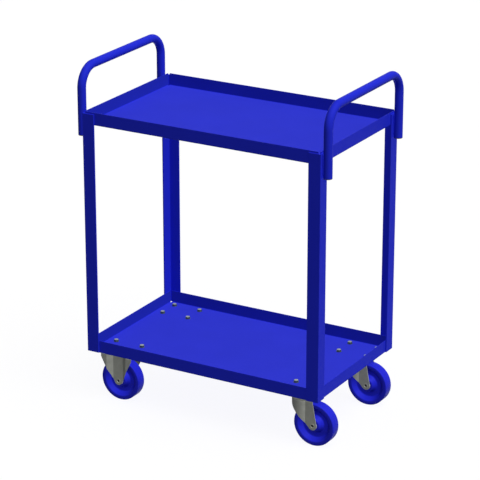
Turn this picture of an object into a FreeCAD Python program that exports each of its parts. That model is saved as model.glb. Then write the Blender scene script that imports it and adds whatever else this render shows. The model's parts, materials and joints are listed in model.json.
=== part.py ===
import FreeCAD
import Part

import math
import os
import re

import Sketcher

# Shelf cart on four casters, in millimetres, +Z up. X runs along the trays, Y across them.
# The origin is on the floor, under the middle of the cart.

DOC = FreeCAD.newDocument("utility_cart")
SHEET = DOC.addObject("Spreadsheet::Sheet", "Sizes")

# Driving sizes: every length is set here once, and everything else follows from these.
SIZES = [
    # folded trays
    ("tray_length", "762"),
    ("tray_width", "457.2"),
    ("lip_height", "38"),
    ("tray_gauge", "1.5"),
    ("tray_bend", "1.5"),
    ("corner_gap", "1"),
    ("relief_width", "4"),
    ("relief_depth", "8"),
    ("rim_rise", "738"),
    # angle legs
    ("leg_flange", "38"),
    ("leg_wall", "4"),
    ("leg_root", "2.5"),
    ("leg_foot_gap", "1.5"),
    ("leg_top_gap", "5"),
    # push handles
    ("tube_diameter", "25.4"),
    ("tube_wall", "1.6"),
    ("bar_rise", "120.5"),
    ("tube_lap", "75"),
    ("tube_bend", "60"),
    ("plug_head", "2"),
    ("plug_depth", "16"),
    ("plug_edge", "0.8"),
    ("plug_wall", "2"),
    ("weld_root", "4"),
    ("weld_reach", "10"),
    ("weld_rise", "3.2"),
    ("weld_length", "60"),
    # wheels
    ("wheel_diameter", "127"),
    ("wheel_width", "34"),
    ("tread_edge", "2.5"),
    ("rim_height", "12"),
    ("rim_slope", "10.5"),
    ("web_thickness", "7"),
    ("hub_base", "54"),
    ("hub_end", "39"),
    ("hub_length", "41"),
    ("hub_edge", "1"),
    # axles and their bearings
    ("axle_diameter", "12"),
    ("axle_bore", "8"),
    ("axle_flare", "1"),
    ("axle_proud", "0.8"),
    ("bush_wall", "3"),
    ("thrust_diameter", "26"),
    ("end_play", "0.1"),
    ("running_gap", "0.05"),
    ("press_gap", "0.02"),
    # caster plates
    ("hole_to_end", "11"),
    ("hole_to_side", "12"),
    ("plate_gauge", "3"),
    ("plate_corner", "8"),
    ("pitch_length", "90"),
    ("pitch_width", "70"),
    ("bolt_hole", "9"),
    ("setback_length", "79.5"),
    ("setback_width", "66.6"),
    # forks and brackets
    ("wheel_room", "30.5"),
    ("fork_gauge", "2.5"),
    ("fork_washer", "1.3"),
    ("bracket_washer", "4.3"),
    ("tip_radius", "12.8"),
    ("strip_width", "33.6"),
    ("shoulder_start", "66"),
    ("shoulder_width", "104"),
    ("shoulder_step", "11.3"),
    ("shoulder_drop", "11.5"),
    ("kink_drop", "20"),
    ("neck_gap", "1.2"),
    ("fold_radius", "3"),
    # swivel fork
    ("wheel_lead", "23.5"),
    ("nose_offset", "3.2"),
    ("nose_radius", "31.7"),
    ("crown_drop", "19"),
    ("crown_round", "3.5"),
    ("crown_back", "40"),
    ("back_drop", "25"),
    ("lead_drop", "32"),
    ("fork_blend", "2.5"),
    # swivel head
    ("dish_diameter", "52"),
    ("dish_drop", "10"),
    ("dish_gauge", "3"),
    ("race_circle", "37"),
    ("race_width", "10"),
    ("race_gap", "4"),
    ("ball_diameter", "6"),
    ("ball_gap", "0.1"),
    ("ball_count", "12"),
    ("seal_wall", "2.4"),
    ("seal_gap", "1"),
    ("seal_clearance", "2.5"),
    ("pin_diameter", "12"),
    ("pin_head", "20"),
    ("pin_head_height", "3.2"),
    ("pin_edge", "1"),
    ("pivot_washer", "26"),
    ("pivot_washer_gauge", "2.4"),
    # bolts, washers and nuts
    ("bolt_diameter", "8"),
    ("hex_flats", "13"),
    ("head_height", "5.3"),
    ("hex_edge", "0.8"),
    ("bolt_tip", "0.8"),
    ("nut_height", "7"),
    ("nut_hex_share", "0.75"),
    ("washer_diameter", "16"),
    ("washer_bore", "8.4"),
    ("washer_gauge", "1.6"),
]
for row, (alias, size) in enumerate(SIZES, start=1):
    SHEET.set(f"A{row}", alias)
    SHEET.set(f"B{row}", size)
    SHEET.setAlias(f"B{row}", alias)
DOC.recompute()
ALIASES = {alias for alias, size in SIZES}


# Places shared by several pieces, as expressions in the names above.
AXLE_DROP = "(wheel_diameter / 2 + wheel_room)"
FLOOR_TO_TRAY = f"(wheel_diameter / 2 + {AXLE_DROP})"
TRAIL = "(wheel_diameter / 2 - wheel_lead)"
HALF_LENGTH = "(tray_length / 2 + leg_wall)"
HALF_WIDTH = "(tray_width / 2 + leg_wall)"
CASTER_X = f"({HALF_LENGTH} - setback_length)"
CASTER_Y = f"({HALF_WIDTH} - setback_width)"
PLATE_LENGTH = "(pitch_length + 2 * hole_to_end)"
PLATE_WIDTH = "(pitch_width + 2 * hole_to_side)"
TUBE_X = f"({HALF_LENGTH} + tube_diameter / 2)"
TUBE_Y = f"({HALF_WIDTH} - leg_flange / 2)"
RIM_HEIGHT = f"({FLOOR_TO_TRAY} + rim_rise)"
HEX_RADIUS = "(hex_flats / sqrt(3))"
AXLE_RADIUS = "(axle_diameter / 2)"
FORK_INSIDE = "(hub_length + 2 * (fork_washer + 2 * end_play))"
BRACKET_INSIDE = "(hub_length + 2 * (bracket_washer + 2 * end_play))"


def full(text):
    """Write an expression with every size named as a cell of the sheet."""
    return re.sub(r"[a-z_]+", lambda m: "Sizes." + m[0] if m[0] in ALIASES else m[0], text)


def value(text):
    return float(SHEET.evalExpression(full(text)))


def bind(thing, target, text):
    thing.setExpression(target, full(text))


def place(thing, x="0", y="0", z="0"):
    for letter, text in zip("xyz", (x, y, z)):
        bind(thing, f"Placement.Base.{letter}", text)


def new_body(name, x="0", y="0", z="0"):
    body = DOC.addObject("PartDesign::Body", name)
    body.Label = name
    body.AllowCompound = True
    place(body, x, y, z)
    return body


def new_sketch(body, name, plane, offset="0"):
    """A sketch on one of the body's own planes: XY, XZ (facing -Y) or YZ (facing +X)."""
    sketch = body.newObject("Sketcher::SketchObject", name)
    for feature in body.Origin.OriginFeatures:
        if feature.Role == plane + "_Plane":
            sketch.AttachmentSupport = [(feature, "")]
    sketch.MapMode = "FlatFace"
    bind(sketch, "AttachmentOffset.Base.z", offset)
    return sketch


def hold(sketch, kind, first, first_point, text):
    """Keep a point at a distance from the sketch's origin, or on its axis when that is zero."""
    axis = {"DistanceX": -2, "DistanceY": -1}[kind]
    if text == "0":
        sketch.addConstraint(Sketcher.Constraint("PointOnObject", first, first_point, axis))
        return
    index = sketch.addConstraint(Sketcher.Constraint(kind, -1, 1, first, first_point, value(text)))
    sketch.setExpression(f"Constraints[{index}]", full(text))


def tangent_point(corner, centre, radius, side):
    """Where a line from the corner touches a circle that lies to its left (side 1) or right (-1)."""
    away = centre - corner
    reach = math.sqrt(away.Length ** 2 - radius ** 2)
    turn = math.atan2(away.y, away.x) - side * math.asin(radius / away.Length)
    return corner + FreeCAD.Vector(math.cos(turn), math.sin(turn), 0) * reach


def draw(sketch, corners, closed=True):
    """Lines through corners given as (x, y); a corner (x, y, radius) is a round one that
    turns left about that centre. Open runs need plain corners at both ends."""
    count = len(corners)
    spots = [FreeCAD.Vector(value(c[0]), value(c[1]), 0) for c in corners]
    enter = list(spots)
    leave = list(spots)
    for i, corner in enumerate(corners):
        if len(corner) == 3:
            radius = value(corner[2])
            enter[i] = tangent_point(spots[i - 1], spots[i], radius, 1)
            leave[i] = tangent_point(spots[(i + 1) % count], spots[i], radius, -1)
    lines = []
    for i in range(count if closed else count - 1):
        run = Part.LineSegment(leave[i], enter[(i + 1) % count])
        lines.append(sketch.addGeometry(run))
    for i, corner in enumerate(corners):
        before = lines[i - 1] if closed or i > 0 else None
        after = lines[i] if closed or i < count - 1 else None
        if len(corner) == 3:
            circle = Part.Circle(spots[i], FreeCAD.Vector(0, 0, 1), value(corner[2]))
            start = math.atan2(enter[i].y - spots[i].y, enter[i].x - spots[i].x)
            end = math.atan2(leave[i].y - spots[i].y, leave[i].x - spots[i].x)
            if end < start:
                end += 2 * math.pi
            arc = sketch.addGeometry(Part.ArcOfCircle(circle, start, end))
            sketch.addConstraint(Sketcher.Constraint("Tangent", before, 2, arc, 1))
            sketch.addConstraint(Sketcher.Constraint("Tangent", arc, 2, after, 1))
            hold(sketch, "DistanceX", arc, 3, corner[0])
            hold(sketch, "DistanceY", arc, 3, corner[1])
            index = sketch.addConstraint(Sketcher.Constraint("Radius", arc, value(corner[2])))
            sketch.setExpression(f"Constraints[{index}]", full(corner[2]))
            continue
        if before is not None and after is not None:
            sketch.addConstraint(Sketcher.Constraint("Coincident", before, 2, after, 1))
        line, end = (after, 1) if after is not None else (before, 2)
        hold(sketch, "DistanceX", line, end, corner[0])
        hold(sketch, "DistanceY", line, end, corner[1])


def draw_box(sketch, left, right, low, high):
    draw(sketch, [(left, low), (right, low), (right, high), (left, high)])


def draw_circle(sketch, x, y, radius):
    centre = FreeCAD.Vector(value(x), value(y), 0)
    circle = Part.Circle(centre, FreeCAD.Vector(0, 0, 1), value(radius))
    index = sketch.addGeometry(circle)
    hold(sketch, "DistanceX", index, 3, x)
    hold(sketch, "DistanceY", index, 3, y)
    size = sketch.addConstraint(Sketcher.Constraint("Radius", index, value(radius)))
    sketch.setExpression(f"Constraints[{size}]", full(radius))


def pad(body, sketch, length, reverse=False):
    feature = body.newObject("PartDesign::Pad", sketch.Name + "_pad")
    feature.Profile = sketch
    feature.Reversed = reverse
    bind(feature, "Length", length)
    return feature


def pocket(body, sketch, length=None, reverse=False):
    """Cut to a depth against the sketch's normal, or right through both ways."""
    feature = body.newObject("PartDesign::Pocket", sketch.Name + "_cut")
    feature.Profile = sketch
    feature.Reversed = reverse
    if length is None:
        feature.SideType = "Symmetric"
        feature.Type = "ThroughAll"
    else:
        bind(feature, "Length", length)
    return feature


def revolve(body, sketch, axis="V_Axis"):
    feature = body.newObject("PartDesign::Revolution", sketch.Name + "_turn")
    feature.Profile = sketch
    feature.ReferenceAxis = (sketch, [axis])
    feature.Angle = 360
    return feature


def round_edges(body, radius, chosen, kind="Fillet"):
    """Round or bevel the edges of the body so far that the test picks."""
    DOC.recompute()
    base = body.Tip
    names = [f"Edge{i}" for i, edge in enumerate(base.Shape.Edges, start=1) if chosen(edge)]
    feature = body.newObject("PartDesign::" + kind, f"{body.Name}_{kind.lower()}_{len(body.Group)}")
    feature.Base = (base, names)
    bind(feature, "Radius" if kind == "Fillet" else "Size", radius)
    return feature


def upright(edge):
    first, last = edge.Vertexes[0].Point, edge.Vertexes[-1].Point
    return math.hypot(first.x - last.x, first.y - last.y) < 1e-6 < abs(first.z - last.z)


def near(measured, text):
    return abs(measured - value(text)) < 1e-4


def level_at(edge, text):
    """An edge that lies flat at a height."""
    return near(edge.BoundBox.ZMin, text) and near(edge.BoundBox.ZMax, text)


def mirrored(name, source, across):
    """The same piece on the other side of the cart."""
    copy = DOC.addObject("Part::Mirroring", name)
    copy.Label = name
    copy.Source = source
    copy.Normal = FreeCAD.Vector(1, 0, 0) if across == "x" else FreeCAD.Vector(0, 1, 0)
    return copy


NODES = {}


def keep(thing):
    NODES[thing.Label] = thing
    return thing


def group(name, pieces):
    """Several loose solids of one kind, as one named sub-part."""
    bundle = DOC.addObject("Part::Compound", name)
    bundle.Label = name
    bundle.Links = pieces
    return bundle


def at_four_corners(name, piece):
    """One piece at the front right of the cart, repeated at all four corners."""
    left = mirrored(name + "_left", piece, "x")
    rear = mirrored(name + "_rear", piece, "y")
    rear_left = mirrored(name + "_rear_left", left, "y")
    return keep(group(name, [piece, left, rear, rear_left]))


def front_and_rear(name, piece):
    """A piece of the front casters, and its mirror image at the rear."""
    piece.Label = name.replace("*", "front")
    keep(piece)
    keep(mirrored(name.replace("*", "rear"), piece, "y"))


# Angle legs. Each one stands outside the trays, with its own corner at the cart's corner, and
# stops just short of the lower tray's underside and of the upper tray's rim.
def make_legs():
    foot = f"{FLOOR_TO_TRAY} + leg_foot_gap"
    leg = new_body("leg_front_right", HALF_LENGTH, f"-{HALF_WIDTH}", foot)
    section = new_sketch(leg, "leg_section", "XY")
    draw(section, [
        ("0", "0"),
        ("0", "leg_flange"),
        ("-leg_wall", "leg_flange"),
        ("-leg_wall", "leg_wall"),
        ("-leg_flange", "leg_wall"),
        ("-leg_flange", "0"),
    ])
    pad(leg, section, "rim_rise - leg_foot_gap - leg_top_gap")
    round_edges(leg, "leg_root", lambda e: upright(e) and near(e.Vertexes[0].X, "-leg_wall")
                and near(e.Vertexes[0].Y, "leg_wall"))
    keep(leg)
    left = keep(mirrored("leg_front_left", leg, "x"))
    keep(mirrored("leg_rear_right", leg, "y"))
    keep(mirrored("leg_rear_left", left, "y"))


# Trays. Each is one sheet with four lips folded up. The end lips reach into the corners, and
# the long ones stop short of them at a relief slot that runs on into the floor of the tray.
def make_tray(name, height):
    tray = new_body(name, z=height)
    long_half, wide_half = "(tray_length / 2)", "(tray_width / 2)"
    notch = "(leg_root + corner_gap)"
    blank = new_sketch(tray, name + "_blank", "XY")
    turn = [(1, -1), (1, 1), (-1, 1), (-1, -1)]
    outline = []
    for x, y in turn:
        at_end = (f"{x} * {long_half}", f"{y} * ({wide_half} - {notch})")
        inside = (f"{x} * ({long_half} - {notch})", f"{y} * ({wide_half} - {notch})")
        at_side = (f"{x} * ({long_half} - {notch})", f"{y} * {wide_half}")
        outline += [at_side, inside, at_end] if x * y < 0 else [at_end, inside, at_side]
    draw(blank, outline)
    pad(tray, blank, "lip_height")
    well = new_sketch(tray, name + "_well", "XY", "lip_height")
    across, along = f"({long_half} - tray_gauge)", f"({wide_half} - tray_gauge)"
    draw_box(well, f"-{across}", across, f"-{along}", along)
    pocket(tray, well, "lip_height - tray_gauge")
    fold = value("tray_width") / 2
    round_edges(tray, "tray_gauge + tray_bend",
                lambda e: e.Length > fold and level_at(e, "0"))
    round_edges(tray, "tray_bend",
                lambda e: e.Length > fold and level_at(e, "tray_gauge"))
    relief = new_sketch(tray, name + "_relief", "XY")
    outer_x = f"({long_half} - tray_gauge)"
    inner_x = f"({outer_x} - relief_width)"
    outer_y = f"({wide_half} + corner_gap)"
    inner_y = f"({wide_half} - relief_depth)"
    for x, y in turn:
        draw_box(relief, f"{x} * {inner_x}", f"{x} * {outer_x}", f"{y} * {inner_y}", f"{y} * {outer_y}")
    pocket(tray, relief)
    return keep(tray)


def make_trays():
    make_tray("top_tray", f"{RIM_HEIGHT} - lip_height")
    lower = make_tray("bottom_tray", FLOOR_TO_TRAY)
    holes = new_sketch(lower, "caster_holes", "XY")
    for side_x in (-1, 1):
        for side_y in (-1, 1):
            for bolt_x in (-1, 1):
                for bolt_y in (-1, 1):
                    draw_circle(
                        holes,
                        f"{side_x} * {CASTER_X} + {bolt_x} * pitch_length / 2",
                        f"{side_y} * {CASTER_Y} + {bolt_y} * pitch_width / 2",
                        "bolt_hole / 2",
                    )
    pocket(lower, holes)


# Push handles. Each is one bent tube, welded to the outer faces of two legs.
TUBE_FOOT = f"({RIM_HEIGHT} - tube_lap)"
BAR_HEIGHT = f"({RIM_HEIGHT} + bar_rise)"


def make_handles():
    handle = new_body("handle_right")
    path = new_sketch(handle, "handle_path", "YZ", TUBE_X)
    bend_y, bend_z = f"({TUBE_Y} - tube_bend)", f"{BAR_HEIGHT} - tube_bend"
    draw(path, [
        (TUBE_Y, TUBE_FOOT),
        (bend_y, bend_z, "tube_bend"),
        (f"-{bend_y}", bend_z, "tube_bend"),
        (f"-{TUBE_Y}", TUBE_FOOT),
    ], closed=False)
    section = new_sketch(handle, "tube_section", "XY", TUBE_FOOT)
    draw_circle(section, TUBE_X, TUBE_Y, "tube_diameter / 2")
    draw_circle(section, TUBE_X, TUBE_Y, "tube_diameter / 2 - tube_wall")
    DOC.recompute()
    pipe = handle.newObject("PartDesign::AdditivePipe", "bent_tube")
    pipe.Profile = section
    pipe.Spine = (path, [f"Edge{i}" for i in range(1, len(path.Shape.Edges) + 1)])
    pipe.Mode = "Standard"
    keep(handle)
    keep(mirrored("handle_left", handle, "x"))


def make_handle_ends():
    plug = new_body("end_plug", TUBE_X, f"-{TUBE_Y}", TUBE_FOOT)
    section = new_sketch(plug, "plug_section", "XZ")
    bore = "(tube_diameter / 2 - tube_wall - press_gap)"
    edge = "(tube_diameter / 2 - plug_edge)"
    draw(section, [
        ("0", "-plug_head"),
        (edge, "-plug_head"),
        ("tube_diameter / 2", "plug_edge - plug_head"),
        ("tube_diameter / 2", "0"),
        (bore, "0"),
        (bore, "plug_depth"),
        (f"{bore} - plug_wall", "plug_depth"),
        (f"{bore} - plug_wall", "0"),
        ("0", "0"),
    ])
    revolve(plug, section)
    at_four_corners("handle_end_plugs", plug)

    beads = new_body("weld_beads", HALF_LENGTH, f"-{TUBE_Y}", f"{TUBE_FOOT} + (tube_lap - weld_length) / 2")
    throat = new_sketch(beads, "bead_section", "XY")
    for side in (-1, 1):
        draw(throat, [
            ("0", f"{side} * weld_root"),
            ("0", f"{side} * weld_reach"),
            ("weld_rise", f"{side} * (weld_reach - weld_root / 2)"),
        ])
    pad(beads, throat, "weld_length")
    tube = new_sketch(beads, "bead_tube", "XY")
    draw_circle(tube, "tube_diameter / 2", "0", "tube_diameter / 2 + press_gap")
    pocket(beads, tube)
    at_four_corners("handle_weld_beads", beads)


# Bolts, washers and nuts at the four corners of each caster plate.
def draw_hexagon(sketch):
    draw(sketch, [
        (f"{HEX_RADIUS} * cos({60 * corner})", f"{HEX_RADIUS} * sin({60 * corner})")
        for corner in range(6)
    ])


def repeat_at_bolt_holes(body, feature, sketch):
    DOC.recompute()
    pattern = body.newObject("PartDesign::LinearPattern", body.Name + "_pattern")
    pattern.Originals = feature
    pattern.Direction = (sketch, ["H_Axis"])
    bind(pattern, "Length", "pitch_length")
    pattern.Occurrences = 2
    pattern.Direction2 = (sketch, ["V_Axis"])
    bind(pattern, "Length2", "pitch_width")
    pattern.Occurrences2 = 2
    body.Tip = pattern


def bolt_body(name, height):
    return new_body(name, f"{CASTER_X} - pitch_length / 2", f"-{CASTER_Y} - pitch_width / 2", height)


def make_fasteners():
    grip = "(tray_gauge + plate_gauge)"

    bolts = bolt_body("bolt_set", f"{FLOOR_TO_TRAY} + tray_gauge + washer_gauge")
    flats = new_sketch(bolts, "bolt_flats", "XY")
    draw_hexagon(flats)
    head = pad(bolts, flats, "head_height")
    shank = new_sketch(bolts, "bolt_shank", "XY")
    draw_circle(shank, "0", "0", "bolt_diameter / 2")
    stem = pad(bolts, shank, f"washer_gauge + {grip} + nut_height + bolt_tip", reverse=True)
    crown = new_sketch(bolts, "bolt_crown", "XZ")
    draw(crown, [
        (f"{HEX_RADIUS} + hex_edge", "head_height - hex_edge"),
        (f"{HEX_RADIUS} + hex_edge", "head_height + hex_edge"),
        (f"{HEX_RADIUS} - 2 * hex_edge", "head_height + hex_edge / 4"),
    ])
    groove = bolts.newObject("PartDesign::Groove", "bolt_crown_turn")
    groove.Profile = crown
    groove.ReferenceAxis = (crown, ["V_Axis"])
    groove.Angle = 360
    repeat_at_bolt_holes(bolts, [head, stem, groove], flats)
    at_four_corners("caster_bolts", bolts)

    washers = bolt_body("washer_set", f"{FLOOR_TO_TRAY} + tray_gauge")
    disc = new_sketch(washers, "washer_face", "XY")
    draw_circle(disc, "0", "0", "washer_diameter / 2")
    draw_circle(disc, "0", "0", "washer_bore / 2")
    repeat_at_bolt_holes(washers, [pad(washers, disc, "washer_gauge")], disc)
    at_four_corners("caster_washers", washers)

    nuts = bolt_body("nut_set", f"{FLOOR_TO_TRAY} - plate_gauge")
    flats = new_sketch(nuts, "nut_flats", "XY")
    draw_hexagon(flats)
    draw_circle(flats, "0", "0", "bolt_diameter / 2 + running_gap")
    nut = pad(nuts, flats, "nut_height * nut_hex_share", reverse=True)
    collar = new_sketch(nuts, "nut_collar", "XY")
    draw_circle(collar, "0", "0", "hex_flats / 2 - hex_edge")
    draw_circle(collar, "0", "0", "bolt_diameter / 2 + running_gap")
    top = pad(nuts, collar, "nut_height", reverse=True)
    repeat_at_bolt_holes(nuts, [nut, top], flats)
    at_four_corners("caster_nuts", nuts)


# Caster plates, drawn in the caster's own frame: its middle is the origin, its top face is zero.
def add_plate(body):
    plate = new_sketch(body, body.Name + "_plate", "XY")
    half_length, half_width = f"{PLATE_LENGTH} / 2", f"{PLATE_WIDTH} / 2"
    draw_box(plate, f"-{half_length}", half_length, f"-{half_width}", half_width)
    pad(body, plate, "plate_gauge", reverse=True)

    def at_corner(edge):
        spot = edge.Vertexes[0]
        return near(abs(spot.X), half_length) and near(abs(spot.Y), half_width)

    round_edges(body, "plate_corner", lambda e: upright(e) and at_corner(e))


def drill_plate(body):
    holes = new_sketch(body, body.Name + "_holes", "XY")
    for side_x in (-1, 1):
        for side_y in (-1, 1):
            x, y = f"{side_x} * pitch_length / 2", f"{side_y} * pitch_width / 2"
            draw_circle(holes, x, y, "bolt_hole / 2")
    pocket(body, holes, "plate_gauge")


def keep_inside(body, name, outline):
    """Trim the body, seen from the side, to an outline."""
    trim = new_sketch(body, name, "XZ")
    reach = f"({PLATE_LENGTH} + {TRAIL})"
    draw_box(trim, f"-{reach}", reach, f"-({reach} + {AXLE_DROP})", reach)
    draw(trim, outline)
    pocket(body, trim)


def drill_axle_hole(body, x):
    hole = new_sketch(body, body.Name + "_axle_hole", "XZ")
    draw_circle(hole, x, f"-{AXLE_DROP}", f"{AXLE_RADIUS} + press_gap")
    pocket(body, hole)


# Rigid bracket. Its two legs are corrugated: a middle strip close to the wheel, and
# shoulders that stand further out, joined by slanted walls.
BRACKET_OUTSIDE = f"({BRACKET_INSIDE} + 2 * fork_gauge)"
SLANT_RUN = "((shoulder_start - strip_width) / 2)"
FOLD_SHIFT = f"(fork_gauge * tan(atan(shoulder_step / {SLANT_RUN}) / 2))"
NUT_CLEAR = f"(pitch_length / 2 - {HEX_RADIUS} - neck_gap)"


def make_fixed_bracket():
    bracket = new_body("fixed_bracket_front", f"-{CASTER_X}", f"-{CASTER_Y}", FLOOR_TO_TRAY)
    plan = new_sketch(bracket, "bracket_plan", "XY")
    low_y, high_y = f"({BRACKET_OUTSIDE} / 2)", f"({BRACKET_OUTSIDE} / 2 + shoulder_step)"
    for side in (-1, 1):
        outer = [
            ("shoulder_width / 2", high_y),
            ("shoulder_start / 2", high_y),
            ("strip_width / 2", low_y),
        ]
        inner = [
            (f"strip_width / 2 + {FOLD_SHIFT}", f"{low_y} - fork_gauge"),
            (f"shoulder_start / 2 + {FOLD_SHIFT}", f"{high_y} - fork_gauge"),
            ("shoulder_width / 2", f"{high_y} - fork_gauge"),
        ]
        outer += [(f"-({x})", y) for x, y in reversed(outer)]
        inner = [(f"-({x})", y) for x, y in reversed(inner)] + inner
        draw(plan, [(x, f"{side} * ({y})") for x, y in outer + inner])
    pad(bracket, plan, f"{AXLE_DROP} + tip_radius", reverse=True)
    round_edges(bracket, "fold_radius",
                lambda e: upright(e) and abs(e.Vertexes[0].X) < value("shoulder_width / 2 - fork_gauge"))
    keep_inside(bracket, "bracket_outline", [
        (NUT_CLEAR, "0"),
        (f"-{NUT_CLEAR}", "0"),
        (f"-{NUT_CLEAR}", "-shoulder_drop"),
        ("-shoulder_width / 2", "-shoulder_drop"),
        ("-shoulder_width / 2", "-kink_drop"),
        ("0", f"-{AXLE_DROP}", "tip_radius"),
        ("shoulder_width / 2", "-kink_drop"),
        ("shoulder_width / 2", "-shoulder_drop"),
        (NUT_CLEAR, "-shoulder_drop"),
    ])
    drill_axle_hole(bracket, "0")
    add_plate(bracket)
    drill_plate(bracket)
    front_and_rear("fixed_bracket_*", bracket)


# Swivel head: a plate with a dish drawn down in its middle, a riveted kingpin through it, and a
# ring of balls that run between the dish and a race on the fork's crown.
RACE_TOP = "(dish_drop + race_gap)"
BALL_LEVEL = "(dish_drop + race_gap / 2)"
BALL_TRACK = "(ball_diameter / 2 + ball_gap)"
CROWN_BOTTOM = "(crown_drop + fork_gauge)"
FORK_OUTSIDE = f"({FORK_INSIDE} + 2 * fork_gauge)"


def cut_ball_track(body):
    track = new_sketch(body, body.Name + "_track", "XZ")
    draw_circle(track, "race_circle / 2", f"-{BALL_LEVEL}", BALL_TRACK)
    groove = body.newObject("PartDesign::Groove", body.Name + "_track_turn")
    groove.Profile = track
    groove.ReferenceAxis = (track, ["V_Axis"])
    groove.Angle = 360


def swivel_body(name):
    return new_body(name, CASTER_X, f"-{CASTER_Y}", FLOOR_TO_TRAY)


def make_swivel_head():
    plate = swivel_body("swivel_plate_front")
    add_plate(plate)
    drill_plate(plate)
    dish = new_sketch(plate, "dish_outside", "XY")
    draw_circle(dish, "0", "0", "dish_diameter / 2")
    pad(plate, dish, "dish_drop", reverse=True)
    recess = new_sketch(plate, "dish_inside", "XY")
    draw_circle(recess, "0", "0", "dish_diameter / 2 - dish_gauge")
    pocket(plate, recess, "dish_drop - dish_gauge")
    bore = new_sketch(plate, "kingpin_hole", "XY")
    draw_circle(bore, "0", "0", "pin_diameter / 2 + press_gap")
    pocket(plate, bore)
    cut_ball_track(plate)
    front_and_rear("swivel_plate_*", plate)

    pin = swivel_body("kingpin_front")
    section = new_sketch(pin, "kingpin_section", "XZ")
    seat = "(dish_drop - dish_gauge)"
    under = f"({CROWN_BOTTOM} + pivot_washer_gauge + 2 * end_play)"
    draw(section, [
        ("0", f"pin_head_height - {seat}"),
        ("0", f"-({under} + pin_head_height)"),
        ("pin_head / 2 - pin_edge", f"-({under} + pin_head_height)"),
        ("pin_head / 2", f"pin_edge - ({under} + pin_head_height)"),
        ("pin_head / 2", f"-{under}"),
        ("pin_diameter / 2", f"-{under}"),
        ("pin_diameter / 2", f"-{seat}"),
        ("pin_head / 2", f"-{seat}"),
        ("pin_head / 2", f"pin_head_height - {seat} - pin_edge"),
        ("pin_head / 2 - pin_edge", f"pin_head_height - {seat}"),
    ])
    revolve(pin, section)
    front_and_rear("kingpin_*", pin)

    seal = swivel_body("swivel_seal_front")
    section = new_sketch(seal, "seal_section", "XZ")
    inside = "(dish_diameter / 2 + press_gap)"
    foot = "seal_clearance - crown_drop"
    draw_box(section, inside, f"{inside} + seal_wall", foot, "-plate_gauge - seal_gap")
    revolve(seal, section)
    front_and_rear("swivel_seal_*", seal)

    balls = swivel_body("ball_ring")
    half = new_sketch(balls, "ball_section", "XZ")
    middle = "race_circle / 2"
    radius = "ball_diameter / 2"
    centre = FreeCAD.Vector(value(middle), value(f"-{BALL_LEVEL}"), 0)
    circle = Part.Circle(centre, FreeCAD.Vector(0, 0, 1), value(radius))
    arc = half.addGeometry(Part.ArcOfCircle(circle, -math.pi / 2, math.pi / 2))
    chord = half.addGeometry(Part.LineSegment(
        centre + FreeCAD.Vector(0, value(radius), 0), centre - FreeCAD.Vector(0, value(radius), 0)))
    half.addConstraint(Sketcher.Constraint("Coincident", arc, 2, chord, 1))
    half.addConstraint(Sketcher.Constraint("Coincident", chord, 2, arc, 1))
    half.addConstraint(Sketcher.Constraint("PointOnObject", arc, 3, chord))
    half.addConstraint(Sketcher.Constraint("Vertical", chord))
    hold(half, "DistanceX", arc, 3, middle)
    hold(half, "DistanceY", arc, 3, f"-{BALL_LEVEL}")
    size = half.addConstraint(Sketcher.Constraint("Radius", arc, value(radius)))
    half.setExpression(f"Constraints[{size}]", full(radius))
    DOC.recompute()
    ball = balls.newObject("PartDesign::Revolution", "ball")
    ball.Profile = half
    ball.ReferenceAxis = (half, [f"Edge{chord + 1}"])
    ball.Angle = 360
    DOC.recompute()
    row = balls.newObject("PartDesign::PolarPattern", "ball_row")
    row.Originals = [ball]
    row.Axis = (half, ["V_Axis"])
    row.Angle = 360
    bind(row, "Occurrences", "ball_count")
    balls.Tip = row
    keep(group("swivel_balls", [balls, mirrored("ball_ring_rear", balls, "y")]))


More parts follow.
